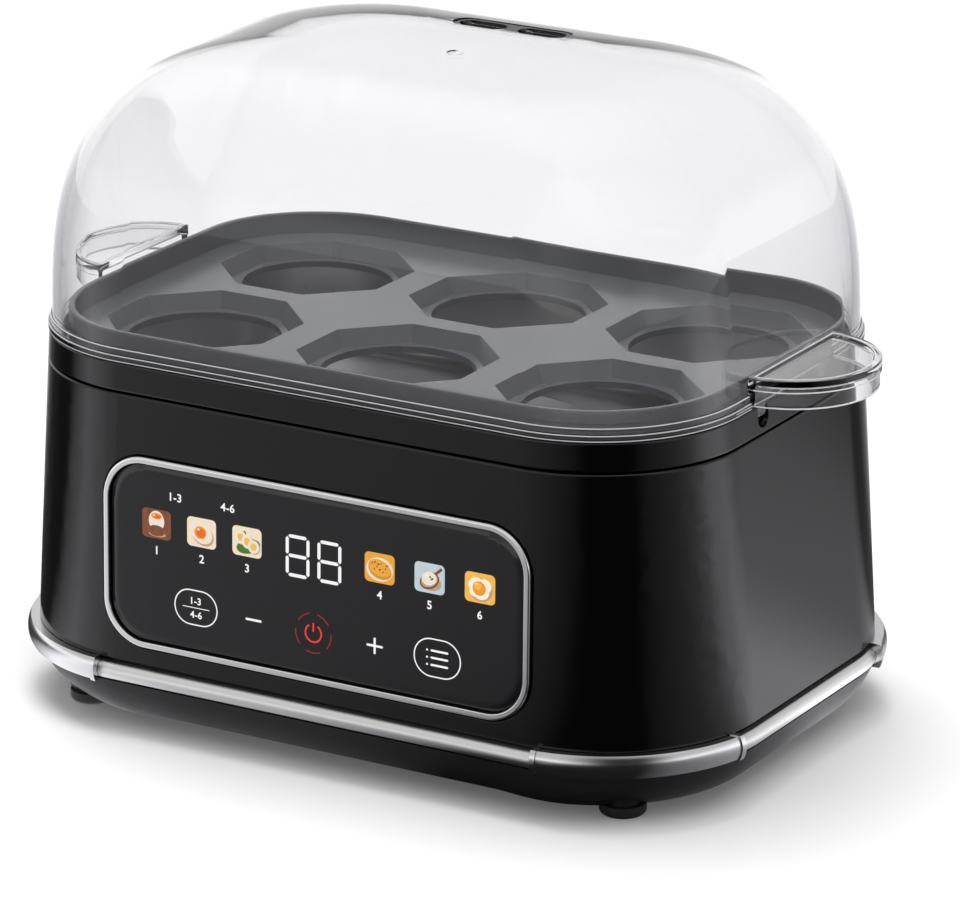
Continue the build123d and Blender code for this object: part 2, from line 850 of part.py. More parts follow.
def supply_transformer():
    """Wound block: laminated core with the coil former standing out at both ends."""
    length, width, tall = transformer_size
    core = on_board((length, width * 0.6, tall), transformer_place)
    return core + on_board((length * 0.6, width, tall * 0.8), transformer_place, part_ease)


def smoothing_capacitor():
    x = power_board_x + capacitor_place[0]
    y = power_board_y + capacitor_place[1]
    can = Pos(x, y, 0) * post(capacitor_radius, board_top, board_top + capacitor_height)
    return fillet(can.edges().sort_by(Axis.Z)[-1], part_ease)


def buzzer():
    """Round sounder with a small port in its top."""
    x = power_board_x + buzzer_place[0]
    y = power_board_y + buzzer_place[1]
    top = board_top + buzzer_height
    can = Pos(x, y, 0) * post(buzzer_radius, board_top, top)
    return can - Pos(x, y, 0) * post(buzzer_radius / 5, top - buzzer_height / 2, top + cut_margin)


def terminal_block():
    """Three-way screw terminal, stepped, with its clamp screws from above."""
    length, width, tall = terminal_size
    body = on_board(terminal_size, terminal_place)
    x = power_board_x + terminal_place[0]
    y = power_board_y + terminal_place[1]
    step = Pos(x, y + width * 0.35, board_top + tall) * Box(length, width * 0.3, tall * 0.6)
    body -= step
    for index in (-1, 0, 1):
        hole = Pos(x + index * length / 3, y - width * 0.15, 0)
        body -= hole * post(2.2, board_top + tall / 2, board_top + tall + cut_margin)
        body += hole * post(1.8, board_top + tall / 2, board_top + tall - 1.0)
    return body


def ribbon_socket():
    slot = block((ribbon_width + slip_gap, ribbon_thickness + slip_gap, socket_size[2]),
                 ribbon_place(), board_top + socket_size[2] - ribbon_grip - slip_gap)
    return on_board(socket_size, socket_place) - slot


def ribbon_place():
    return power_board_x + socket_place[0], power_board_y + socket_place[1]


def ribbon_cable():
    """Flat cable from the control board's back down to its socket on the power board."""
    x, y = ribbon_place()
    top = panel.from_local_coords(Vector(x, ribbon_start_v, -(board_depth + board_thickness + trim_gap)))
    low = board_top + socket_size[2] - ribbon_grip
    route = FilletPolyline((x, top.Y, top.Z), (x, y, top.Z), (x, y, low), radius=ribbon_bend)
    start = Plane(origin=(x, top.Y, top.Z), x_dir=(1, 0, 0), z_dir=(0, 1, 0))
    return sweep(start * Rectangle(ribbon_width, ribbon_thickness), path=route)


def heater_leads():
    """Two insulated leads from the heater pins down to the terminal block."""
    leads = []
    x = power_board_x + terminal_place[0]
    y = power_board_y + terminal_place[1] - terminal_size[1] * 0.15
    top = board_top + terminal_size[2]
    for side in (-1, 1):
        tip = pin_tip(side)
        end = (x + side * terminal_size[0] / 3, y, top - 1.0)
        drop = top + 9.0
        points = [tuple(tip), (tip.X, tip.Y, tip.Z - 6.0), (end[0], end[1], drop), end]
        route = FilletPolyline(*points, radius=ribbon_bend)
        leads.append(sweep(Plane(origin=tip, z_dir=(0, 0, -1)) * Circle(wire_radius), path=route))
    return Compound(leads)


def cord_bush():
    """Round bush in the rear wall: outer flange, barrel through the wall and a lock ring inside."""
    plane = bush_plane()
    wall_in = housing_wall + trim_gap
    outer = extrude(plane * Circle(bush_flange), bush_flange_thickness)
    outer = fillet(outer.edges().sort_by(Axis.Y)[-1], bush_flange_thickness / 3)
    barrel = extrude(plane.offset(-bush_back) * Circle(bush_barrel - slip_gap), bush_back)
    lock = extrude(plane.offset(-wall_in - bush_lock_thickness) * Circle(bush_lock), bush_lock_thickness)
    bore = extrude(plane.offset(-bush_back - cut_margin) * Circle(bush_bore), 2 * bush_back)
    return outer + barrel + lock - bore


def egg_tray():
    """Moulded tray: raised rim, flat deck and six faceted funnels, each with a round hole."""
    def outline(inset, height):
        return rounded_face(rim_length - 2 * inset, rim_depth - 2 * inset, rim_radius - inset, height)

    rim_top = tray_low + tray_rim
    tray = extrude(outline(tray_inset, tray_low), tray_rim)
    tray -= extrude(outline(tray_inset + tray_wall, plate_top), tray_rim)
    tray -= extrude(outline(tray_inset + tray_wall, tray_low), plate_top - tray_wall - tray_low)
    outside = funnel(plate_top - tray_wall, seat_mouth + 2 * tray_wall, seat_floor + 2 * tray_wall)
    inside = funnel(plate_top, seat_mouth, seat_floor)
    hole = post(seat_hole, tray_low - 2 * seat_sink, plate_top)
    for place in seat_places():
        tray += place * outside
    for place in seat_places():
        tray -= place * inside
        tray -= place * hole
    top_edges = tray.edges().filter_by(lambda e: abs(e.center().Z - rim_top) < tray_wall / 10)
    return fillet(top_edges, tray_wall / 3)


def seat_places():
    return [Pos(column * seat_x, row * seat_y, 0) for row in (-1, 1) for column in (-1, 0, 1)]


def funnel(high, mouth, floor):
    """Eight-sided funnel seat between a height and its sink below it."""
    upper = Plane.XY.offset(high) * octagon(mouth)
    lower = Plane.XY.offset(high - seat_sink) * octagon(floor)
    return loft([lower, upper], ruled=True)


def octagon(across):
    return RegularPolygon(across / 2, 8, major_radius=False, rotation=22.5)


def dome_face(turn, inset):
    """One level of the dome, from 0 degrees at its foot to 90 degrees at its flat top."""
    share = cos(radians(turn)) ** (2 / dome_power)
    rise = sin(radians(turn)) ** (2 / dome_power)
    shrink = 1 - share
    foot_length = rim_length - 2 * lid_inset
    foot_depth = rim_depth - 2 * lid_inset
    foot_radius_here = rim_radius - lid_inset
    length = foot_length + shrink * (lid_top_length - foot_length)
    depth = foot_depth + shrink * (lid_top_depth - foot_depth)
    radius = foot_radius_here + shrink * (lid_top_radius - foot_radius_here)
    height = lid_foot + rise * (rim_height + lid_height - inset - lid_foot)
    return rounded_face(length - 2 * inset, depth - 2 * inset, radius - inset, height)


def dome(inset):
    turns = [90 * level / dome_levels for level in range(dome_levels + 1)]
    return loft([dome_face(turn, inset) for turn in turns])


def handle(side):
    """Half-round grip at one end: rimmed top, thin web and a skirt open below."""
    x = side * (rim_length / 2 - handle_setback)
    top = rim_height + handle_top
    band_low = top - handle_band
    skirt_low = band_low - handle_skirt
    skirt_radius_here = handle_radius - handle_skirt_inset
    place = Pos(x, 0, 0)
    grip = place * post(handle_radius, band_low, top) + place * post(skirt_radius_here, skirt_low, band_low)
    recess = place * post(handle_radius - handle_rim, top - handle_recess, top + cut_margin)
    ceiling = top - handle_recess - handle_web
    hollow = place * post(skirt_radius_here - handle_rim, skirt_low - cut_margin, ceiling)
    outside = sorted((x + side * handle_chord, side * skirt_length))
    beyond = Pos(0, 0, rim_height) * sector(outside[0], outside[1], -handle_radius, handle_radius)
    return grip - (recess & beyond) - (hollow & beyond)


def lid_key(side, y):
    """Key under the flange that drops into the collar's notch."""
    floor_x = rim_length / 2 - notch_recess + key_clearance
    thick = notch_recess - 2 * key_clearance
    width = notch_width - 2 * key_clearance
    x = side * (floor_x + thick / 2)
    return Pos(x, y, rim_height - key_drop) * extrude(Rectangle(thick, width), key_drop + lid_flange / 2)


def lid_dome():
    """Clear lid in one moulding: dome, stepped flange, two grips, vents and keys."""
    lid = dome(0.0)
    lid += body_block(rim_height, lid_foot, lid_flange_inset)
    lid += body_block(lid_foot, lid_foot + lid_step, lid_step_inset)
    for side in (-1, 1):
        lid += handle(side)
        for step in (-1, 1):
            lid += lid_key(side, step * notch_spacing / 2)
    lid -= dome(lid_wall)
    lid -= extrude(dome_face(0, lid_wall), -2 * lid_flange)
    top = rim_height + lid_height
    recess = extrude(SlotOverall(vent_recess_length, vent_recess_width), lid_wall)
    lid -= Pos(0, vent_y, top - vent_recess_depth) * recess
    slot = extrude(SlotOverall(vent_length, vent_width), 3 * lid_wall)
    for side in (-1, 1):
        lid -= Pos(side * vent_spacing / 2, vent_y, top - 2 * lid_wall) * slot
    lid -= post(gate_radius, top - gate_depth, top + cut_margin)
    return lid


def four(maker, name):
    """Four copies of a corner piece, each under its own name."""
    piece = maker()
    named = {}
    for x_name, sx in (("left", -1), ("right", 1)):
        for y_name, sy in (("front", -1), ("rear", 1)):
            named[f"{name}_{y_name}_{x_name}"] = Pos(sx * corner_x, sy * corner_y, 0) * piece
    return named


pieces = {
    "lid_dome": lid_dome(),
    "egg_tray": egg_tray(),
    "upper_collar": upper_collar(),
    "housing_shell": housing_shell(),
    "base_shell": base_shell(),
    "heating_dish": heating_dish(),
    "dish_gasket": dish_gasket(),
    "heater_plate": heater_plate(),
    "heater_tube": heater_tube(),
    "thermostat": thermostat(),
    "thermostat_strap": thermostat_strap(),
    "thermal_fuse": thermal_fuse(),
    "heat_shield": heat_shield(),
    "control_bezel": control_bezel(),
    "touch_glass": touch_glass(),
    "panel_carrier": panel_carrier(),
    "panel_screws": panel_screws(),
    "control_board": control_board(),
    "control_board_screws": control_board_screws(),
    "digit_display": digit_display(),
    "light_guides": light_guides(),
    "touch_pads": touch_pads(),
    "power_board": power_board(),
    "power_board_screws": power_board_screws(),
    "relay": relay(),
    "supply_transformer": supply_transformer(),
    "smoothing_capacitor": smoothing_capacitor(),
    "buzzer": buzzer(),
    "terminal_block": terminal_block(),
    "ribbon_socket": ribbon_socket(),
    "ribbon_cable": ribbon_cable(),
    "heater_leads": heater_leads(),
    "cord_bush": cord_bush(),
    "base_screws": Compound([place * base_screw() for place in at_corners(corner_x, corner_y)]),
}
pieces.update(trim_bars())
pieces.update(trim_caps())
pieces.update(four(foot, "foot"))

os.makedirs("parts", exist_ok=True)
for name, piece in pieces.items():
    export_step(piece, f"parts/{name}.step")
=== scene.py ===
import json
from math import acos, atan2, cos, pi, radians, sin

import bmesh
import bpy
from mathutils import Matrix, Vector


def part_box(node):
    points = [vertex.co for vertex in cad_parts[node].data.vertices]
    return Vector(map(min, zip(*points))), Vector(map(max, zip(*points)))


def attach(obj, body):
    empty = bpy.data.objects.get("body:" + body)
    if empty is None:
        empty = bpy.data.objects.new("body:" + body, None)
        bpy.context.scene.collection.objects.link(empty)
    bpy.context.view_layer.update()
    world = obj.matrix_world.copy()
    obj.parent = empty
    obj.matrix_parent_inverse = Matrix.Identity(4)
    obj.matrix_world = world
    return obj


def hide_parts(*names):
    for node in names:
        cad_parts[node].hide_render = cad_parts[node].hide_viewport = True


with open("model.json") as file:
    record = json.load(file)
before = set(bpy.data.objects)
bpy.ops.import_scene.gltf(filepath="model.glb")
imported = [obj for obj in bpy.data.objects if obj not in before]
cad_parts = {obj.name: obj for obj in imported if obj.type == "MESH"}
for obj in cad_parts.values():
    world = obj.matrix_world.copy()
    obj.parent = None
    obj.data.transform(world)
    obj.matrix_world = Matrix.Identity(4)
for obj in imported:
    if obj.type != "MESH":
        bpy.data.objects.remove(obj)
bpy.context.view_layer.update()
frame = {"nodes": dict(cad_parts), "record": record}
mm = 0.001

# Base shell
# A charcoal pan moulded in ABS with a fine spark-eroded grain. It closes the body from below
# and is held by four long screws that pass up through its corner posts.


def finish(name, colour, rough, metallic=0.0):
    """A plain Principled finish, ready for its own grain."""
    material = bpy.data.materials.new(name)
    material.use_nodes = True
    shader = material.node_tree.nodes["Principled BSDF"]
    shader.inputs["Base Color"].default_value = (*colour, 1.0)
    shader.inputs["Roughness"].default_value = rough
    shader.inputs["Metallic"].default_value = metallic
    return material, shader


def add_grain(material, shader, scale, rough_low, rough_high, bump=0.0, stretch=(1, 1, 1)):
    """Fine grain in the surface: it varies the roughness and, where asked, the height."""
    tree = material.node_tree
    place = tree.nodes.new("ShaderNodeTexCoord")
    turn = tree.nodes.new("ShaderNodeMapping")
    turn.inputs["Scale"].default_value = stretch
    noise = tree.nodes.new("ShaderNodeTexNoise")
    noise.inputs["Scale"].default_value = scale
    noise.inputs["Detail"].default_value = 4.0
    spread = tree.nodes.new("ShaderNodeMapRange")
    spread.inputs["To Min"].default_value = rough_low
    spread.inputs["To Max"].default_value = rough_high
    tree.links.new(place.outputs["Object"], turn.inputs["Vector"])
    tree.links.new(turn.outputs["Vector"], noise.inputs["Vector"])
    tree.links.new(noise.outputs["Fac"], spread.inputs["Value"])
    tree.links.new(spread.outputs["Result"], shader.inputs["Roughness"])
    if bump:
        relief = tree.nodes.new("ShaderNodeBump")
        relief.inputs["Strength"].default_value = bump
        relief.inputs["Distance"].default_value = 0.05 * mm
        tree.links.new(noise.outputs["Fac"], relief.inputs["Height"])
        tree.links.new(relief.outputs["Normal"], shader.inputs["Normal"])


def put(obj, body, slot, *nodes):
    """Hangs a finished piece on its body and hides the solids that it stands for."""
    if obj.name not in bpy.context.scene.collection.objects:
        bpy.context.scene.collection.objects.link(obj)
    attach(obj, body)
    if nodes:
        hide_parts(*nodes)


def shade(obj, angle=30):
    """Smooth over the curves, crisp at the edges that turn by more than the angle."""
    obj.data.shade_smooth()
    obj.data.set_sharp_from_angle(angle=radians(angle))
    even = obj.modifiers.new("flat_flats", "WEIGHTED_NORMAL")
    even.keep_sharp = True


def moulded(node, body, slot, material, width, angle=30):
    """A merged copy of a solid, with its edges broken as a mould or a press leaves them."""
    merge_distance = 0.002 * mm
    flat_angle = radians(0.2)
    shape = bmesh.new()
    shape.from_mesh(frame["nodes"][node].data)
    bmesh.ops.remove_doubles(shape, verts=shape.verts, dist=merge_distance)
    bmesh.ops.dissolve_limit(shape, angle_limit=flat_angle, verts=shape.verts, edges=shape.edges)
    mesh = bpy.data.meshes.new(node + "_piece")
    shape.to_mesh(mesh)
    shape.free()
    piece = bpy.data.objects.new(node + "_piece", mesh)
    mesh.materials.append(material)
    put(piece, body, slot, node)
    edge = piece.modifiers.new("broken_edges", "BEVEL")
    edge.width = width
    edge.segments = 3
    edge.limit_method = "ANGLE"
    edge.angle_limit = radians(angle)
    shade(piece, angle)


charcoal, shader = finish("charcoal_plastic", (0.010, 0.010, 0.011), 0.42)
shader.inputs["Specular IOR Level"].default_value = 0.3
add_grain(charcoal, shader, 1400.0, 0.38, 0.46, bump=0.05)
moulded("base_shell", "cooker", "charcoal_plastic", charcoal, 0.25 * mm)

# Feet
# Four short rubber feet, each pressed by its plug into a corner well of the base, where it
# hides the head of a long screw.

rubber, shader = finish("foot_rubber", (0.012, 0.012, 0.012), 0.7)
add_grain(rubber, shader, 700.0, 0.62, 0.8, bump=0.2)
for row in ("front", "rear"):
    for side in ("left", "right"):
        moulded(f"foot_{row}_{side}", "cooker", "foot_rubber", rubber, 0.15 * mm)

# Trim band
# Four satin steel bars rolled to a half-round lie in the channel above the base. Polished caps
# with a rolled lip at each end clip over the corners and hide the bars' cut ends.

satin, shader = finish("satin_steel", (0.86, 0.86, 0.85), 0.3, 1.0)
add_grain(satin, shader, 120.0, 0.34, 0.46, stretch=(0.4, 0.4, 30.0))
for place in ("front", "rear", "left", "right"):
    moulded(f"trim_bar_{place}", "cooker", "satin_steel", satin, 0.15 * mm)

polished, shader = finish("polished_steel", (0.76, 0.76, 0.77), 0.12, 1.0)
add_grain(polished, shader, 300.0, 0.17, 0.25)
for row in ("front", "rear"):
    for side in ("left", "right"):
        moulded(f"trim_cap_{row}_{side}", "cooker", "polished_chrome", polished, 0.2 * mm)

# Housing shell
# The tapered sleeve is one injection moulding in high-gloss black ABS, with the window for the
# panel in its front. It clips over the base's lip and up against the collar.

gloss, shader = finish("black_gloss", (0.0012, 0.0012, 0.0016), 0.12)
add_grain(gloss, shader, 14.0, 0.11, 0.16)
moulded("housing_shell", "cooker", "black_plastic", gloss, 0.2 * mm)

# Upper collar
# The same black plastic, screwed down on the housing by four pillars. It carries the dish on an
# inner shelf and the lid on its land, with two notches at each end for the lid's keys.

moulded("upper_collar", "cooker", "black_plastic", gloss, 0.2 * mm)

# Cord bush
# A flanged bush of tough black plastic with a round bore. It is pushed in through the rear wall
# and held by the lock ring on its inner end.

tough, shader = finish("tough_plastic", (0.018, 0.018, 0.019), 0.45)
add_grain(tough, shader, 800.0, 0.40, 0.55)
moulded("cord_bush", "cooker", "inner_plastic", tough, 0.1 * mm)

# Heating dish
# A deep-drawn stainless pan with a rolled flange, left with the fine satin of the sheet. It sits
# on a silicone ring, and the heater plate is brazed under its round well.

drawn, shader = finish("drawn_steel", (0.56, 0.56, 0.57), 0.3, 1.0)
add_grain(drawn, shader, 200.0, 0.24, 0.36, stretch=(1.0, 14.0, 1.0))
moulded("heating_dish", "cooker", "dish_steel", drawn, 0.2 * mm)

# Egg tray
# Moulded in dark grey heat-proof plastic: a raised rim round a flat deck, and six eight-sided
# funnels that each end in a round hole. It rests on the dish's flange and lifts out.

tray_grey, shader = finish("tray_plastic", (0.062, 0.064, 0.072), 0.26)
add_grain(tray_grey, shader, 2500.0, 0.24, 0.28)
moulded("egg_tray", "tray", "tray_plastic", tray_grey, 0.35 * mm, angle=12)

# Lid
# One clear moulding: a domed shell of 2 mm with a stepped flange, a half-round grip at each end,
# two steam vents in its flat top, a gate mark, and four keys that drop into the collar's notches.

collar_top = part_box("upper_collar")[1][2]
rim = (88.0 * mm, 62.1 * mm, 35.6 * mm, collar_top)
wall = 2.0 * mm
setback = 0.8 * mm
foot = (rim[0] - setback, rim[1] - setback, rim[2] - setback, collar_top + 2.0 * mm)
top_height = collar_top + 65.5 * mm
top = (36.0 * mm, 20.0 * mm, 19.0 * mm, top_height)
levels = 44
rise_power = 2.9
bulge_along = 2.8
bulge_across = 3.05
corner_steps = 20


def dome_ring(level, inset):
    """One ring of the dome, as half length, half depth, corner radius and height."""
    rise = sin(pi / 2 * level / levels) ** (2 / rise_power)
    share_x = 1 - (1 - rise ** bulge_along) ** (1 / bulge_along)
    share_y = 1 - (1 - rise ** bulge_across) ** (1 / bulge_across)
    share = (share_x + share_y) / 2
    return (foot[0] + (top[0] - foot[0]) * share_x - inset,
            foot[1] + (top[1] - foot[1]) * share_y - inset,
            foot[2] + (top[2] - foot[2]) * share - inset,
            foot[3] + rise * (top[3] - inset - foot[3]))


def flange_ring(inset, height):
    """One ring of the flange, by its inset from the rim and its height above the collar, in mm."""
    return rim[0] - inset * mm, rim[1] - inset * mm, rim[2] - inset * mm, collar_top + height * mm


def round_plate(shape, ring, steps):
    """A level face with round corners, where a stack of rings starts."""
    made = bmesh.ops.create_grid(shape, x_segments=1, y_segments=1, size=1.0)
    bmesh.ops.scale(shape, vec=(ring[0], ring[1], 1.0), verts=made["verts"])
    bmesh.ops.translate(shape, vec=(0, 0, ring[3]), verts=made["verts"])
    bmesh.ops.bevel(shape, geom=made["verts"], offset=ring[2], offset_type="OFFSET", segments=steps,
                    profile=0.5, affect="VERTICES", material=-1)
    return max(shape.faces, key=lambda face: face.calc_area())


def next_ring(shape, face, old, new):
    """Grows the stack by one ring: the face is extruded and its corners seated anew."""
    grown = bmesh.ops.extrude_face_region(shape, geom=[face])["geom"]
    for corner in [item for item in grown if isinstance(item, bmesh.types.BMVert)]:
        side_x = 1 if corner.co.x > 0 else -1
        side_y = 1 if corner.co.y > 0 else -1
        reach_x = (corner.co.x - side_x * (old[0] - old[2])) / old[2]
        reach_y = (corner.co.y - side_y * (old[1] - old[2])) / old[2]
        corner.co = (side_x * (new[0] - new[2]) + new[2] * reach_x,
                     side_y * (new[1] - new[2]) + new[2] * reach_y, new[3])
    return [item for item in grown if isinstance(item, bmesh.types.BMFace)][0]


def stack_rings(rings, steps):
    """A closed solid that runs through all the rings, from one end face to the other."""
    shape = bmesh.new()
    face = round_plate(shape, rings[0], steps)
    inner = []
    for old, new in zip(rings, rings[1:]):
        face = next_ring(shape, face, old, new)
        inner.append(face)
    bmesh.ops.delete(shape, geom=inner[:-1], context="FACES_ONLY")
    return shape


def solid(shape, name):
    """Turns a finished bmesh into an object with its faces outwards."""
    bmesh.ops.remove_doubles(shape, verts=shape.verts, dist=0.0005 * mm)
    bmesh.ops.recalc_face_normals(shape, faces=shape.faces)
    mesh = bpy.data.meshes.new(name)
    shape.to_mesh(mesh)
    shape.free()
    obj = bpy.data.objects.new(name, mesh)
    bpy.context.scene.collection.objects.link(obj)
    return obj


def combine(part, tool, operation):
    """Joins a tool solid to the part, or cuts it out, and drops the tool."""
    step = part.modifiers.new("combine", "BOOLEAN")
    step.operation = operation
    step.object = tool
    step.solver = "EXACT"
    graph = bpy.context.evaluated_depsgraph_get()
    joined = bpy.data.meshes.new_from_object(part.evaluated_get(graph))
    part.modifiers.clear()
    part.data = joined
    bpy.data.objects.remove(tool)


flange_profile = ((2.8, 0.3), (2.5, 0.0), (0.05, 0.0), (-0.25, 0.3), (-0.25, 1.35), (-0.05, 1.6),
                  (0.2, 1.65), (0.3, 1.75), (0.3, 2.85), (0.5, 3.08), (0.8, 3.1))
rings = [dome_ring(level, wall) for level in reversed(range(levels + 1))]
rings += [flange_ring(inset, height) for inset, height in flange_profile]
rings += [dome_ring(level, 0.0) for level in range(1, levels + 1)]
lid = solid(stack_rings(rings, corner_steps), "clear_lid")

grip_x = 87.5 * mm
grip_top = collar_top + 7.4 * mm
band_low = grip_top - 2.9 * mm
grip_low = grip_top - 6.7 * mm


def half_plate(shape, radius, chord, height):
    """A level half-round face, cut off at a chord along the end wall. Radius and chord are in mm."""
    made = bmesh.ops.create_circle(shape, cap_ends=True, segments=120, radius=radius * mm)
    bmesh.ops.translate(shape, vec=(grip_x, 0, height), verts=made["verts"])
    bmesh.ops.bisect_plane(shape, geom=shape.verts[:] + shape.edges[:] + shape.faces[:], dist=1e-7,
                           plane_co=(chord * mm, 0, 0), plane_no=(-1, 0, 0), clear_outer=True)
    return shape.faces[:][0]


def half_rounds(side, faces):
    """A stack of half-round faces on the end wall, each as radius, chord and height."""
    shape = bmesh.new()
    face = half_plate(shape, *faces[0])
    inner = []
    for old, new in zip(faces, faces[1:]):
        grown = bmesh.ops.extrude_face_region(shape, geom=[face])["geom"]
        old_reach = acos((old[1] * mm - grip_x) / (old[0] * mm))
        new_reach = acos((new[1] * mm - grip_x) / (new[0] * mm))
        spread = new_reach / old_reach
        for corner in [item for item in grown if isinstance(item, bmesh.types.BMVert)]:
            turn = atan2(corner.co.y, corner.co.x - grip_x) * spread
            corner.co = (grip_x + new[0] * mm * cos(turn), new[0] * mm * sin(turn), new[2])
        face = [item for item in grown if isinstance(item, bmesh.types.BMFace)][0]
        inner.append(face)
    bmesh.ops.delete(shape, geom=inner[:-1], context="FACES_ONLY")
    bmesh.ops.scale(shape, vec=(side, 1, 1), verts=shape.verts)
    return solid(shape, "half_round")


skirt = [(19.7, 85.9, grip_low), (20.0, 85.9, grip_low + 0.3 * mm), (20.0, 85.9, band_low + 0.4 * mm)]
cap = [(20.1, 85.9, band_low), (20.4, 85.9, band_low + 0.3 * mm), (20.4, 85.9, grip_top - 0.4 * mm),
       (20.3, 85.9, grip_top - 0.12 * mm), (20.0, 85.9, grip_top)]
recess = [(18.3, 88.7, grip_top - 0.6 * mm), (18.6, 88.4, grip_top - 0.35 * mm), (18.7, 88.3, grip_top),
          (18.7, 88.3, grip_top + mm)]
hollow = [(18.2, 88.3, grip_low - mm), (18.2, 88.3, grip_top - 2.3 * mm), (17.9, 88.6, grip_top - 2.0 * mm)]
key_size = (1.4 * mm, 4.2 * mm, 4.1 * mm)
key_edge = 0.25 * mm
key_x = 87.0 * mm
key_y = 14.5 * mm
key_middle = collar_top - 1.05 * mm
for side in (-1, 1):
    combine(lid, half_rounds(side, skirt), "UNION")
    combine(lid, half_rounds(side, cap), "UNION")
    combine(lid, half_rounds(side, recess), "DIFFERENCE")
    combine(lid, half_rounds(side, hollow), "DIFFERENCE")
    for row in (-1, 1):
        key = bmesh.new()
        made = bmesh.ops.create_cube(key, size=1.0)
        bmesh.ops.scale(key, vec=key_size, verts=made["verts"])
        bmesh.ops.bevel(key, geom=key.edges[:], offset=key_edge, offset_type="OFFSET", segments=2,
                        profile=0.5, affect="EDGES", material=-1)
        bmesh.ops.translate(key, vec=(side * key_x, row * key_y, key_middle), verts=key.verts)
        combine(lid, solid(key, "key"), "UNION")


def pocket(x, y, half_length, half_width, deep):
    """Cuts a round-ended pocket or hole into the lid's flat top."""
    end = half_width - 0.01 * mm
    cutter = stack_rings([(half_length, half_width, end, top_height - deep),
                          (half_length, half_width, end, top_height + mm)], 12)
    bmesh.ops.translate(cutter, vec=(x, y, 0), verts=cutter.verts)
    combine(lid, solid(cutter, "pocket"), "DIFFERENCE")


vent_x = 7.8 * mm
vent_y = 26.0 * mm
gate_mark = 2.0 * mm
pocket(0.0, vent_y, 15.5 * mm, 3.8 * mm, 0.4 * mm)
for side in (-1, 1):
    pocket(side * vent_x, vent_y, 6.1 * mm, 2.5 * mm, 5.0 * mm)
pocket(0.0, 0.0, gate_mark, gate_mark, 0.3 * mm)


def choose_shader(tree, rays, first, second):
    """Gives the surface the second shader for the chosen rays, and the first for all others."""
    choose = tree.nodes.new("ShaderNodeMixShader")
    tree.links.new(rays, choose.inputs["Fac"])
    tree.links.new(first, choose.inputs[1])
    tree.links.new(second, choose.inputs[2])
    tree.links.new(choose.outputs["Shader"], tree.nodes["Material Output"].inputs["Surface"])


clear, shader = finish("clear_lid", (0.995, 0.995, 0.997), 0.0)
shader.inputs["Transmission Weight"].default_value = 1.0
shader.inputs["IOR"].default_value = 1.49
add_grain(clear, shader, 60.0, 0.005, 0.02)
tree = clear.node_tree
rays = tree.nodes.new("ShaderNodeLightPath")
through = tree.nodes.new("ShaderNodeBsdfTransparent")
through.inputs["Color"].default_value = (0.93, 0.93, 0.94, 1.0)
choose_shader(tree, rays.outputs["Is Shadow Ray"], shader.outputs["BSDF"], through.outputs["BSDF"])
lid.data.materials.clear()
lid.data.materials.append(clear)
put(lid, "lid", "clear_plastic", "lid_dome")
shade(lid, 32)

# Painted highlights on the lid's edges
# Where the clear moulding turns sharply it gathers the light in fine lines: three round the flange,
# and three on each grip. These are painted highlights: hair-thin grey strips laid along the edges.


def band(shape, face, stroke, rise):
    """Leaves only a rim of a level face, as wide as the stroke, and gives it a height."""
    bmesh.ops.inset_region(shape, faces=[face], thickness=stroke, use_boundary=True, use_even_offset=True)
    bmesh.ops.delete(shape, geom=[max(shape.faces, key=lambda item: len(item.verts))], context="FACES_ONLY")
    grown = bmesh.ops.extrude_face_region(shape, geom=shape.faces[:])["geom"]
    upper = [item for item in grown if isinstance(item, bmesh.types.BMVert)]
    bmesh.ops.translate(shape, vec=(0, 0, rise), verts=upper)


def add_to(whole, shape):
    """Adds a finished shape to the piece that it belongs to."""
    mesh = bpy.data.meshes.new("addition")
    shape.to_mesh(mesh)
    shape.free()
    whole.from_mesh(mesh)
    bpy.data.meshes.remove(mesh)


# Painted highlight: a grey strip along each flange edge stands in for the light that the edge catches.
painted_flange_highlight, shader = finish("painted_flange_highlight", (0.52, 0.52, 0.53), 0.35)
add_grain(painted_flange_highlight, shader, 900.0, 0.28, 0.42)
highlight_stroke = 0.25 * mm
edges = bmesh.new()
for inset, height in ((0.32, 2.86), (-0.24, 1.32), (-0.24, 0.10)):
    line = bmesh.new()
    band(line, round_plate(line, flange_ring(inset, height), corner_steps), highlight_stroke, 0.2 * mm)
    add_to(edges, line)
flange_highlight_lines = solid(edges, "flange_highlight_lines")
under_grip = [(20.2, 80.0, collar_top - mm), (20.2, 80.0, grip_top)]
for side in (-1, 1):
    combine(flange_highlight_lines, half_rounds(side, under_grip), "DIFFERENCE")


def turned_arc(radius, stroke, rise, start, end):
    """A stretch of a flat ring, between two angles in degrees, turned out of its cross-section."""
    shape = bmesh.new()
    bmesh.ops.create_grid(shape, x_segments=1, y_segments=1, size=0.5)
    bmesh.ops.scale(shape, vec=(stroke, rise, 1), verts=shape.verts)
    bmesh.ops.rotate(shape, cent=(0, 0, 0), matrix=Matrix.Rotation(pi / 2, 3, "X"), verts=shape.verts)
    bmesh.ops.translate(shape, vec=(radius, 0, rise / 2), verts=shape.verts)
    bmesh.ops.rotate(shape, cent=(0, 0, 0), matrix=Matrix.Rotation(radians(start), 3, "Z"), verts=shape.verts)
    bmesh.ops.spin(shape, geom=shape.faces[:], cent=(0, 0, 0), axis=(0, 0, 1), angle=radians(end - start),
                   steps=4 + int((end - start) / 5))
    return shape
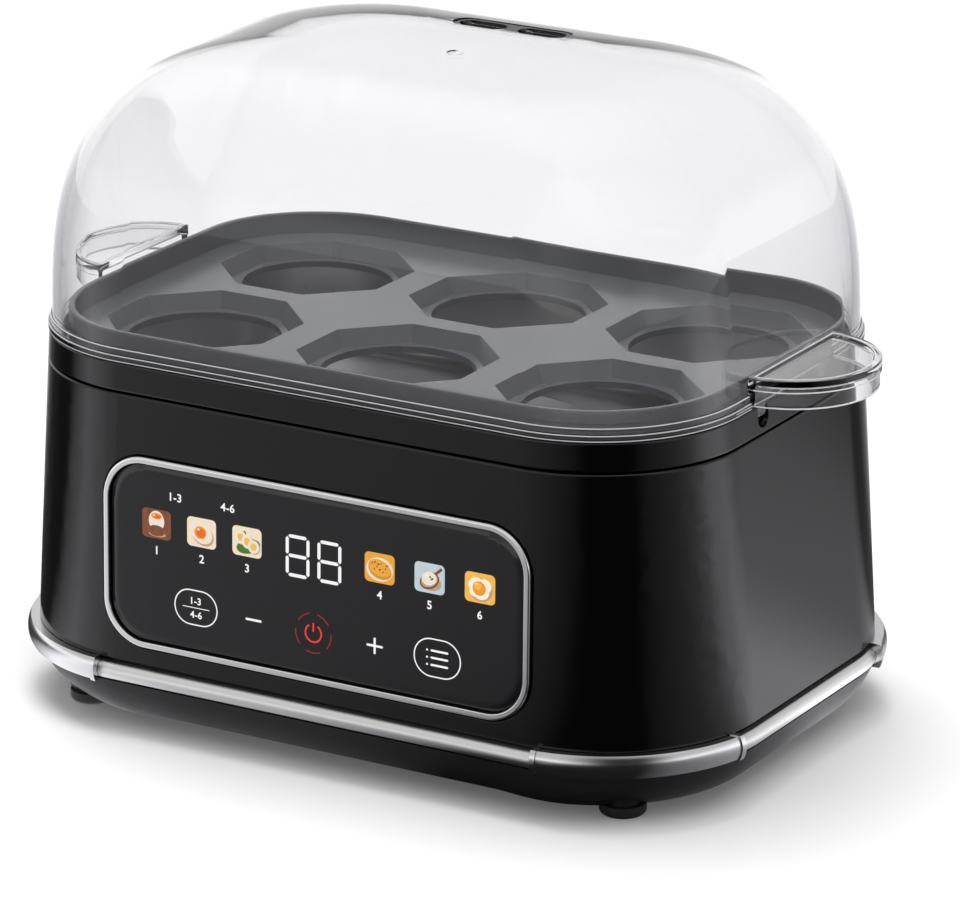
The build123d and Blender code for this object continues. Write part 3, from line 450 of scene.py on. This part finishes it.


# Painted highlight: a light grey strip along each grip edge stands in for the light that the edge catches.
painted_grip_highlight, shader = finish("painted_grip_highlight", (0.74, 0.74, 0.76), 0.3)
add_grain(painted_grip_highlight, shader, 900.0, 0.24, 0.36)
sunk = 0.02 * mm
arc_reach = 87
edges = bmesh.new()
for side in (-1, 1):
    lines = [bmesh.new()]
    band(lines[0], half_plate(lines[0], 18.97, 88.05, grip_top - 0.27 * mm), highlight_stroke, highlight_stroke)
    for radius, height in ((20.25 * mm, band_low + sunk), (19.85 * mm, grip_low + sunk)):
        line = turned_arc(radius, highlight_stroke, highlight_stroke, -arc_reach, arc_reach)
        bmesh.ops.translate(line, vec=(grip_x, 0, height), verts=line.verts)
        lines.append(line)
    for line in lines:
        bmesh.ops.scale(line, vec=(side, 1, 1), verts=line.verts)
        add_to(edges, line)
grip_highlight_lines = solid(edges, "grip_highlight_lines")
for piece, material in ((flange_highlight_lines, painted_flange_highlight), (grip_highlight_lines, painted_grip_highlight)):
    piece.data.materials.clear()
    piece.data.materials.append(material)
    put(piece, "lid", "clear_plastic")

# Control bezel
# A satin metal ring, die-cast and brushed, let into the window of the housing. A black groove
# runs along its outer and its inner side.

bright, shader = finish("bright_steel", (0.90, 0.90, 0.90), 0.2, 1.0)
add_grain(bright, shader, 300.0, 0.18, 0.26)
moulded("control_bezel", "cooker", "satin_steel", bright, 0.4 * mm)

# Touch glass
# A black glass panel with ground edges, let in just behind the bezel's face. Its back is printed
# black, and what glows is left clear in the print and lit from behind.

black_glass, shader = finish("black_glass", (0.008, 0.008, 0.009), 0.12)
add_grain(black_glass, shader, 10.0, 0.10, 0.14)
moulded("touch_glass", "cooker", "panel_glass", black_glass, 0.1 * mm)

# Signs on the glass
# White signs that glow through clear places in the black print: two digits of seven bars, the
# numbers of the programs and of the egg counts, and the outlines and signs of the five keys.

lean = atan2(1.4, 71.6)
panel_y = -62.97 * mm
panel_z = 45.65 * mm
panel = Matrix(((1, 0, 0, 0), (0, sin(lean), -cos(lean), panel_y), (0, cos(lean), sin(lean), panel_z),
                (0, 0, 0, 1)))
glass_front = 0.4 * mm
film = 0.04 * mm
layer_step = 0.012 * mm


def glow(name, colour, strength, shade_colour=None):
    """A lit print: its colour wanders a little towards a second one, as in a photograph."""
    material, shader = finish(name, (0.0, 0.0, 0.0), 0.35)
    shader.inputs["Emission Color"].default_value = (*colour, 1.0)
    shader.inputs["Emission Strength"].default_value = strength
    if shade_colour:
        tree = material.node_tree
        place = tree.nodes.new("ShaderNodeTexCoord")
        cloud = tree.nodes.new("ShaderNodeTexNoise")
        cloud.inputs["Scale"].default_value = 900.0
        blend = tree.nodes.new("ShaderNodeMix")
        blend.data_type = "RGBA"
        blend.inputs["A"].default_value = (*colour, 1.0)
        blend.inputs["B"].default_value = (*shade_colour, 1.0)
        tree.links.new(place.outputs["Object"], cloud.inputs["Vector"])
        tree.links.new(cloud.outputs["Fac"], blend.inputs["Factor"])
        tree.links.new(blend.outputs["Result"], shader.inputs["Emission Color"])
    return material


def lay(shape, print_shape, u, v, turn=0.0, layer=0):
    """Lays a stroke on the glass, its middle at u along the panel and v up it, in mm."""
    height = glass_front - sunk + layer * layer_step
    move = panel @ Matrix.Translation((u * mm, v * mm, height)) @ Matrix.Rotation(turn, 4, "Z")
    bmesh.ops.transform(shape, matrix=move, verts=shape.verts)
    add_to(print_shape, shape)


def plate(print_shape, u, v, length, width, radius, turn=0.0, layer=0, steps=4):
    """A rounded rectangle, or a bar with rounded or slanted ends."""
    ring = (length / 2 * mm, width / 2 * mm, radius * mm, 0.0)
    lay(stack_rings([ring, ring[:3] + (film,)], steps), print_shape, u, v, turn, layer)


def outline(print_shape, u, v, length, width, radius, stroke):
    """The outline of a rounded rectangle."""
    shape = bmesh.new()
    face = round_plate(shape, (length / 2 * mm, width / 2 * mm, radius * mm, 0.0), 12)
    band(shape, face, stroke * mm, film)
    lay(shape, print_shape, u, v)


def arc(print_shape, u, v, radius, stroke, start, end):
    """A stretch of a ring, between two angles in degrees."""
    lay(turned_arc(radius * mm, stroke * mm, film, start, end), print_shape, u, v)


def lettering(print_shape, words, u, v, height):
    """Numbers in a plain face, made a mesh and scaled to their height before they are laid."""
    line = bpy.data.curves.new("line", "FONT")
    line.body = words
    line.extrude = 0.02
    line.offset = 0.018
    line.space_character = 1.06
    block = bpy.data.objects.new("line", line)
    mesh = bpy.data.meshes.new_from_object(block)
    shape = bmesh.new()
    shape.from_mesh(mesh)
    low = [min(corner.co[axis] for corner in shape.verts) for axis in range(3)]
    high = [max(corner.co[axis] for corner in shape.verts) for axis in range(3)]
    size = height * mm / (high[1] - low[1])
    middle = [(low[axis] + high[axis]) / 2 for axis in range(2)]
    bmesh.ops.remove_doubles(shape, verts=shape.verts, dist=0.0001)
    bmesh.ops.translate(shape, vec=(-middle[0], -middle[1], -low[2]), verts=shape.verts)
    bmesh.ops.scale(shape, vec=(size, size, 1.0 * mm), verts=shape.verts)
    lay(shape, print_shape, u, v)
    bpy.data.objects.remove(block)
    bpy.data.curves.remove(line)
    bpy.data.meshes.remove(mesh)


white = bmesh.new()
digit_middle = 6.5
bar_width = 0.8
bar_end = 0.39
for u in (-4.0, 4.4):
    for row in (-1, 0, 1):
        plate(white, u, digit_middle + row * 4.6, 4.9, bar_width, bar_end, steps=1)
    for side in (-1, 1):
        for row in (-1, 1):
            plate(white, u + side * 2.75, digit_middle + row * 2.3, bar_width, 4.2, bar_end, steps=1)
picture_places = (-41.9, -29.7, -17.5, 17.6, 30.6, 43.6)
number_size = 2.0
for number, u in enumerate(picture_places, 1):
    lettering(white, str(number), u, 1.3, number_size)
for count, u in (("1-3", -36.7), ("4-6", -22.7)):
    lettering(white, count, u, 14.8, number_size)
count_key = -31.3
outline(white, count_key, -10.7, 11.7, 8.6, 4.25, 0.3)
for count, v in (("1-3", -9.1), ("4-6", -12.4)):
    lettering(white, count, count_key, v, 1.7)
plate(white, count_key, -10.75, 7.2, 0.18, 0.08)
key_row = -11.0
outline(white, 32.75, key_row, 12.3, 9.2, 4.55, 0.3)
for row in (-1, 0, 1):
    plate(white, 33.3, key_row + row * 1.7, 4.6, 0.5, 0.24)
    plate(white, 30.1, key_row + row * 1.7, 0.5, 0.5, 0.24)
plate(white, -15.75, -10.8, 4.3, 0.55, 0.25)
plus_key = 16.4
plate(white, plus_key, key_row, 4.3, 0.55, 0.25)
plate(white, plus_key, key_row, 0.55, 3.9, 0.25)
signs = solid(white, "white_signs")
signs.data.materials.append(glow("white_print", (0.90, 0.90, 0.91), 1.0))
put(signs, "cooker", "panel_glass")

# Power sign
# The fifth key glows red: a bright ring with a bar through its gap, and a dim broken ring round it.

power_key = 0.2
red = bmesh.new()
arc(red, power_key, key_row, 2.1, 0.42, 122, 418)
plate(red, power_key, -9.6, 0.42, 2.2, 0.2)
sign = solid(red, "power_sign")
sign.data.materials.append(glow("red_print", (0.85, 0.035, 0.03), 1.0))
put(sign, "cooker", "panel_glass")
dim = bmesh.new()
for middle in (54, 126, 198, 270, 342):
    arc(dim, power_key, key_row, 4.7, 0.26, middle - 23, middle + 23)
halo = solid(dim, "power_ring")
halo.data.materials.append(glow("dim_red_print", (0.30, 0.015, 0.015), 1.0))
put(halo, "cooker", "panel_glass")

# Program pictures
# Six small lit pictures of eggs, printed in colour on film behind the glass: an egg in a cup, half
# an egg on a board, slices on a leaf, a folded omelette, an egg on a spoon, and a fried egg.

inks = {
    "board_brown": ((0.30, 0.095, 0.035), (0.11, 0.035, 0.015)),
    "pan_cream": ((0.86, 0.68, 0.45), (0.92, 0.84, 0.70)),
    "pale_blue": ((0.42, 0.55, 0.60), (0.66, 0.74, 0.76)),
    "omelette_yellow": ((0.90, 0.47, 0.05), (0.78, 0.30, 0.03)),
    "fold_amber": ((0.62, 0.20, 0.02), (0.78, 0.34, 0.04)),
    "egg_white": ((0.92, 0.86, 0.76), (0.80, 0.71, 0.58)),
    "egg_shade": ((0.55, 0.42, 0.30), (0.42, 0.30, 0.20)),
    "soft_yolk": ((0.90, 0.17, 0.015), (0.78, 0.10, 0.01)),
    "bright_yolk": ((0.95, 0.38, 0.02), (0.90, 0.27, 0.01)),
    "pale_yolk": ((0.95, 0.56, 0.10), (0.88, 0.44, 0.05)),
    "leaf_green": ((0.10, 0.22, 0.03), (0.05, 0.12, 0.015)),
    "tomato_red": ((0.62, 0.06, 0.02), (0.45, 0.03, 0.01)),
    "highlight": ((1.0, 0.95, 0.85), (0.95, 0.80, 0.55)),
}
strokes = {ink: bmesh.new() for ink in inks}


def spot(ink, u, v, across, tall, turn=0.0, layer=1):
    """A round or oval spot of one ink, on top of the layers below it."""
    shape = bmesh.new()
    bmesh.ops.create_circle(shape, cap_ends=True, segments=40, radius=0.5 * mm)
    bmesh.ops.scale(shape, vec=(across, tall, 1), verts=shape.verts)
    grown = bmesh.ops.extrude_face_region(shape, geom=shape.faces[:])["geom"]
    upper = [item for item in grown if isinstance(item, bmesh.types.BMVert)]
    bmesh.ops.translate(shape, vec=(0, 0, film), verts=upper)
    lay(shape, strokes[ink], u, v, radians(turn), layer)


grounds = ("board_brown", "pan_cream", "pan_cream", "omelette_yellow", "pale_blue", "pale_yolk")
picture_middle = 7.6
for ground, u in zip(grounds, picture_places):
    plate(strokes[ground], u, picture_middle, 7.8, 7.0, 1.1)
cup_egg, half_egg, slices, omelette, spoon_egg, fried_egg = picture_places

spot("egg_shade", cup_egg + 0.2, 5.2, 4.6, 1.3, layer=1)
spot("egg_white", cup_egg, 8.3, 4.2, 4.9, layer=2)
spot("board_brown", cup_egg, 6.0, 4.6, 2.6, layer=3)
spot("bright_yolk", cup_egg, 9.5, 2.9, 1.5, layer=3)
spot("soft_yolk", cup_egg + 0.1, 9.4, 2.2, 1.0, layer=4)
spot("highlight", cup_egg - 0.6, 9.6, 0.5, 0.3, layer=5)

spot("egg_shade", half_egg + 0.3, 7.1, 6.2, 4.9, turn=-25, layer=1)
spot("egg_white", half_egg, 7.5, 6.0, 4.7, turn=-25, layer=2)
spot("bright_yolk", half_egg - 0.3, 7.6, 3.3, 3.1, layer=3)
spot("soft_yolk", half_egg - 0.2, 7.5, 2.4, 2.2, layer=4)
spot("highlight", half_egg - 0.8, 8.3, 0.6, 0.4, layer=5)

spot("leaf_green", slices + 0.4, 6.6, 6.6, 3.4, turn=18, layer=1)
spot("leaf_green", slices - 1.5, 8.9, 3.2, 1.6, turn=40, layer=1)
for step, (du, dv) in enumerate(((-1.7, 0.9), (0.1, 0.1), (1.8, -0.9))):
    spot("egg_shade", slices + du + 0.2, 7.45 + dv, 3.1, 3.3, layer=2 + 2 * step)
    spot("egg_white", slices + du, picture_middle + dv, 3.0, 3.2, layer=3 + 2 * step)
    spot("pale_yolk", slices + du, picture_middle + dv, 1.7, 1.8, layer=4 + 2 * step)

spot("pan_cream", omelette, 7.3, 7.0, 5.6, layer=1)
spot("fold_amber", omelette + 0.1, 7.2, 6.2, 4.3, turn=-14, layer=2)
spot("omelette_yellow", omelette, 7.7, 6.0, 3.8, turn=-14, layer=3)
for du, dv in ((-1.9, 0.9), (-0.7, 0.2), (0.4, 1.0), (1.6, 0.0), (0.9, -0.9), (-1.3, -0.5)):
    spot("leaf_green", omelette + du, 7.7 + dv, 0.55, 0.3, turn=40 * du, layer=4)
for du, dv in ((-1.2, 1.3), (0.1, -0.3), (1.9, 0.8), (-0.3, 0.9)):
    spot("tomato_red", omelette + du, picture_middle + dv, 0.6, 0.45, turn=25, layer=4)

spot("egg_shade", spoon_egg + 0.4, 6.5, 5.4, 3.6, layer=1)
plate(strokes["board_brown"], spoon_egg + 2.0, 9.2, 3.2, 0.7, 0.3, turn=radians(42), layer=2)
spot("board_brown", spoon_egg, 7.0, 5.4, 3.7, turn=30, layer=3)
spot("egg_shade", spoon_egg, 7.1, 4.6, 3.0, turn=30, layer=4)
spot("egg_white", spoon_egg - 0.1, 7.5, 3.9, 3.2, turn=20, layer=5)
spot("highlight", spoon_egg - 0.6, 8.2, 1.2, 0.7, layer=6)
spot("leaf_green", spoon_egg + 0.7, 7.5, 0.9, 0.45, turn=35, layer=6)
spot("leaf_green", spoon_egg + 0.2, 7.9, 0.7, 0.4, turn=-30, layer=6)

spot("egg_shade", fried_egg + 0.2, 7.2, 6.2, 5.4, layer=1)
for du, dv, size in ((-0.9, 0.5, 4.2), (1.1, 0.6, 3.7), (0.3, -0.8, 4.2), (-1.2, -0.9, 3.0)):
    spot("highlight", fried_egg + du, picture_middle + dv, size, size * 0.9, layer=2)
spot("fold_amber", fried_egg - 0.2, 7.5, 3.4, 3.3, layer=3)
spot("bright_yolk", fried_egg - 0.25, 7.6, 3.2, 3.1, layer=4)
spot("pale_yolk", fried_egg - 0.5, 8.0, 1.9, 1.6, layer=5)
spot("highlight", fried_egg - 0.9, 8.5, 0.6, 0.35, turn=30, layer=6)

for ink, (colour, shade_colour) in inks.items():
    picture = solid(strokes[ink], f"picture_{ink}")
    picture.data.materials.append(glow(f"ink_{ink}", colour, 0.95, shade_colour))
    put(picture, "cooker", "panel_glass")

# Inner pieces
# Boards, heater and fixings inside the sealed housing. They keep their plain solids and each has
# the finish of its real material.

inner = {
    "seal_rubber": ((0.50, 0.50, 0.48), 0.7, 0.0), "cast_aluminium": ((0.55, 0.55, 0.56), 0.45, 1.0),
    "tube_steel": ((0.36, 0.33, 0.29), 0.4, 1.0), "zinc_steel": ((0.48, 0.49, 0.50), 0.35, 1.0),
    "stat_ceramic": ((0.70, 0.67, 0.60), 0.8, 0.0), "fuse_metal": ((0.60, 0.52, 0.30), 0.3, 1.0),
    "inner_plastic": ((0.05, 0.05, 0.055), 0.5, 0.0), "board_laminate": ((0.02, 0.12, 0.05), 0.35, 0.0),
    "display_plastic": ((0.03, 0.03, 0.035), 0.3, 0.0), "frosted_plastic": ((0.80, 0.81, 0.80), 0.55, 0.0),
    "pad_foam": ((0.04, 0.04, 0.045), 0.9, 0.0), "relay_plastic": ((0.02, 0.05, 0.15), 0.4, 0.0),
    "core_iron": ((0.25, 0.24, 0.22), 0.5, 0.6), "can_aluminium": ((0.30, 0.31, 0.35), 0.35, 0.5),
    "buzzer_plastic": ((0.015, 0.015, 0.015), 0.4, 0.0), "terminal_plastic": ((0.03, 0.20, 0.08), 0.4, 0.0),
    "socket_plastic": ((0.72, 0.69, 0.60), 0.5, 0.0), "cable_plastic": ((0.40, 0.41, 0.43), 0.5, 0.0),
    "lead_sleeve": ((0.56, 0.53, 0.46), 0.7, 0.0),
}
slots = {entry["node"]: entry["material_slot"] for entry in frame["record"]["subparts"]}
for name, (colour, rough, metallic) in inner.items():
    material, shader = finish(name, colour, rough, metallic)
    add_grain(material, shader, 400.0, rough * 0.85, rough * 1.15, bump=0.05)
    for node, slot in slots.items():
        if slot == name and node != "cord_bush":
            frame["nodes"][node].data.materials.clear()
            frame["nodes"][node].data.materials.append(material)

# Floor, light and camera
# A white sweep with a soft shadow. Seen only in reflections, it shows painted dark flags, one by
# the right front corner and one behind, and painted grey and bright bands between them; seen through
# the lid, it shows painted walls of light. The light is soft and even.

floor_shape = bmesh.new()
bmesh.ops.create_grid(floor_shape, x_segments=1, y_segments=1, size=6.0)
floor = solid(floor_shape, "floor")
paper, shader = finish("floor_paper", (0.77, 0.77, 0.77), 0.9)
shader.inputs["Specular IOR Level"].default_value = 0.0
shader.inputs["Emission Color"].default_value = (1.0, 1.0, 1.0, 1.0)
shader.inputs["Emission Strength"].default_value = 0.08


def combine_values(tree, operation, first, second):
    """A maths node on two values, each a socket or a plain number."""
    node = tree.nodes.new("ShaderNodeMath")
    node.operation = operation
    for socket, value in zip(node.inputs, (first, second)):
        if isinstance(value, bpy.types.NodeSocket):
            tree.links.new(value, socket)
        else:
            socket.default_value = value
    return node.outputs["Value"]


def light_around(tree, coordinate, stops):
    """Light by direction, each stop as its azimuth from the front towards the right, and its level."""
    brightest = 1.6
    place = tree.nodes.new("ShaderNodeTexCoord")
    around = tree.nodes.new("ShaderNodeTexGradient")
    around.gradient_type = "RADIAL"
    bands = tree.nodes.new("ShaderNodeValToRGB")
    tree.links.new(place.outputs[coordinate], around.inputs["Vector"])
    tree.links.new(around.outputs["Color"], bands.inputs["Fac"])
    ramp = bands.color_ramp.elements
    ramp.remove(ramp[1])
    for azimuth, level in stops:
        stop = ramp.new(((azimuth + 90.0) % 360.0) / 360.0)
        stop.color = (level / brightest,) * 3 + (1.0,)
    ramp.remove(ramp[0])
    return combine_values(tree, "MULTIPLY", bands.outputs["Color"], brightest)


# Painted reflection: levels of the floor by azimuth, seen only in reflections; the near-black stops are the
# painted dark flags.
painted_reflection_flags = ((-88, 0.04), (-75, 0.04), (-64, 0.75), (-57, 1.3), (-43, 0.95), (-34, 0.56), (0, 0.32), (18, 0.15),
         (27, 0.01), (55, 0.01), (62, 0.14), (80, 0.34), (92, 0.65), (104, 1.5), (116, 1.5), (127, 0.72),
         (137, 0.62), (144, 0.12), (155, 0.10), (170, 0.40), (185, 1.4), (232, 1.4), (250, 0.20), (262, 0.06))
# Painted light seen through the lid: levels by azimuth for rays that have passed through it.
painted_walls_behind_lid = [(middle + turn, level) for middle in (30, 210)
         for turn, level in ((-56, 0.36), (-30, 0.84), (-14, 1.05), (14, 1.05), (30, 0.84), (56, 0.36))]

tree = paper.node_tree
rays = tree.nodes.new("ShaderNodeLightPath")
glossy = rays.outputs["Is Glossy Ray"]
passed = rays.outputs["Is Transmission Ray"]
mirrored = combine_values(tree, "SUBTRACT", glossy, passed)
mirror_light = combine_values(tree, "MULTIPLY", mirrored, light_around(tree, "Object", painted_reflection_flags))
passed_light = combine_values(tree, "MULTIPLY", passed, light_around(tree, "Object", painted_walls_behind_lid))
glare = tree.nodes.new("ShaderNodeEmission")
tree.links.new(combine_values(tree, "ADD", mirror_light, passed_light), glare.inputs["Strength"])
glare.inputs["Color"].default_value = (0.97, 0.96, 1.0, 1.0)
either = combine_values(tree, "MAXIMUM", glossy, passed)
choose_shader(tree, either, shader.outputs["BSDF"], glare.outputs["Emission"])
floor.data.materials.append(paper)

world = bpy.data.worlds.new("studio")
bpy.context.scene.world = world
world.use_nodes = True
tree = world.node_tree
back = tree.nodes["Background"]
rays = tree.nodes.new("ShaderNodeLightPath")
glossy = rays.outputs["Is Glossy Ray"]
passed = rays.outputs["Is Transmission Ray"]
place = tree.nodes.new("ShaderNodeTexCoord")
parts = tree.nodes.new("ShaderNodeSeparateXYZ")
tree.links.new(place.outputs["Generated"], parts.inputs["Vector"])


def fade(tree, value, start, end, level):
    """A smooth step of a value, from nothing at the start to its level at the end."""
    step = tree.nodes.new("ShaderNodeMapRange")
    step.interpolation_type = "SMOOTHSTEP"
    step.inputs["From Min"].default_value = start
    step.inputs["From Max"].default_value = end
    step.inputs["To Max"].default_value = level
    tree.links.new(value, step.inputs["Value"])
    return step.outputs["Result"]


plain_sky = 0.45
mirrored_sky = 0.6
# Painted reflection: seen only in reflections, the sky has a brighter horizon and a painted dark flag towards
# the right front; rays through the lid see painted walls of light instead of the sky.
horizon = fade(tree, parts.outputs["Z"], 0.28, 0.12, 0.6)
flag_height = fade(tree, parts.outputs["Z"], 0.80, 0.45, 1.0)
flag = light_around(tree, "Generated", ((0, 0.0), (27, 0.97), (55, 0.97), (75, 0.0)))
bare = combine_values(tree, "SUBTRACT", 1.0, combine_values(tree, "MULTIPLY", flag_height, flag))
gloss_sky = combine_values(tree, "MULTIPLY", combine_values(tree, "ADD", horizon, mirrored_sky), bare)
gloss_more = combine_values(tree, "SUBTRACT", gloss_sky, plain_sky)
sky = combine_values(tree, "ADD", combine_values(tree, "MULTIPLY", glossy, gloss_more), plain_sky)
for azimuth, height, spread, power in ((-110, 42, 0.70, 0.45), (60, 62, 0.80, 0.3)):
    around = radians(azimuth)
    upward = radians(height)
    towards = (sin(around) * cos(upward), -cos(around) * cos(upward), sin(upward))
    facing = tree.nodes.new("ShaderNodeVectorMath")
    facing.operation = "DOT_PRODUCT"
    facing.inputs[1].default_value = towards
    tree.links.new(place.outputs["Generated"], facing.inputs[0])
    sky = combine_values(tree, "ADD", sky, fade(tree, facing.outputs["Value"], spread, 1.0, power))
open_sky = combine_values(tree, "MULTIPLY", sky, combine_values(tree, "SUBTRACT", 1.0, passed))
wall_light = combine_values(tree, "MULTIPLY", passed, light_around(tree, "Generated", painted_walls_behind_lid))
tree.links.new(combine_values(tree, "ADD", open_sky, wall_light), back.inputs["Strength"])
back.inputs["Color"].default_value = (1.0, 1.0, 1.0, 1.0)

aim = Vector((0.0, 0.0, 0.07))


def soft_box(name, place, power):
    """A large diffused lamp that lights the surfaces but leaves no hard picture of itself in them."""
    lamp = bpy.data.lights.new(name, "AREA")
    lamp.shape = "SQUARE"
    lamp.size = 0.9
    lamp.energy = power
    box = bpy.data.objects.new(name, lamp)
    box.location = place
    box.rotation_euler = (aim - Vector(place)).to_track_quat("-Z", "Y").to_euler()
    box.visible_glossy = False
    box.visible_transmission = False
    bpy.context.scene.collection.objects.link(box)


soft_box("key", (-0.30, 0.15, 1.45), 17.0)
soft_box("fill", (0.5, -0.4, 1.4), 8.0)

look_down = 18.522
look_left = 30.375
camera_data = bpy.data.cameras.new("camera")
camera_data.lens = 232.63
camera_data.sensor_width = 36.0
camera = bpy.data.objects.new("camera", camera_data)
camera.location = (0.69733, -1.1786, 0.5189)
camera.rotation_euler = (radians(90 - look_down), 0.0, radians(look_left))
bpy.context.scene.collection.objects.link(camera)
bpy.context.scene.camera = camera
bpy.context.scene.view_settings.view_transform = "Standard"
